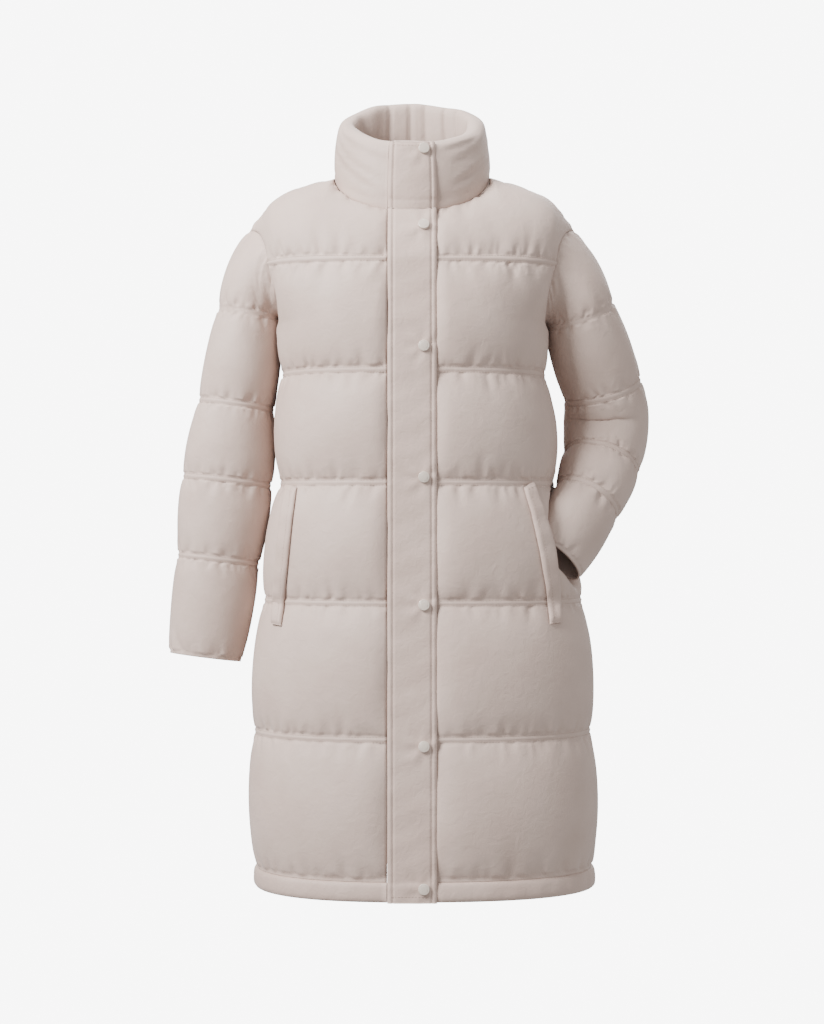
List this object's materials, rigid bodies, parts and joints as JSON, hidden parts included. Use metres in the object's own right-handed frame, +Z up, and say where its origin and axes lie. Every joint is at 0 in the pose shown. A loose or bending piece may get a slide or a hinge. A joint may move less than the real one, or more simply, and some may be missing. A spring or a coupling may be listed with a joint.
{
  "type": "long puffer coat",
  "caption": "Knee-length quilted puffer coat with a stand collar, snap placket, slanted welt pockets and one sleeve bent into its pocket; hollow, in its worn form.",
  "frame": {"origin": "centre of the neck, level with the points where the shoulder seams meet the collar", "axes": "+Z up along the coat, -Y the way the front faces, +X the wearer's left"},
  "size_m": [0.678, 0.3434, 1.1013],
  "materials": {
    "quilted_shell": "warm beige-grey fine woven polyester over padding, soft satin",
    "plain_shell": "the same fine woven polyester, doubled and topstitched",
    "snap_caps": "snap caps lacquered in the coat's colour"
  },
  "bodies": {
    "root": {"back": "quilted_shell", "front_right": "quilted_shell", "front_left": "quilted_shell", "sleeve_right": "quilted_shell", "sleeve_left": "quilted_shell", "collar": "quilted_shell", "placket": "plain_shell", "placket_collar": "plain_shell", "welt_right": "plain_shell", "welt_left": "plain_shell", "hem_front_right": "plain_shell", "hem_front_left": "plain_shell", "hem_back": "plain_shell", "snap_1": "snap_caps", "snap_2": "snap_caps", "snap_3": "snap_caps", "snap_4": "snap_caps", "snap_5": "snap_caps", "snap_6": "snap_caps", "snap_7": "snap_caps"}
  },
  "joints": []
}
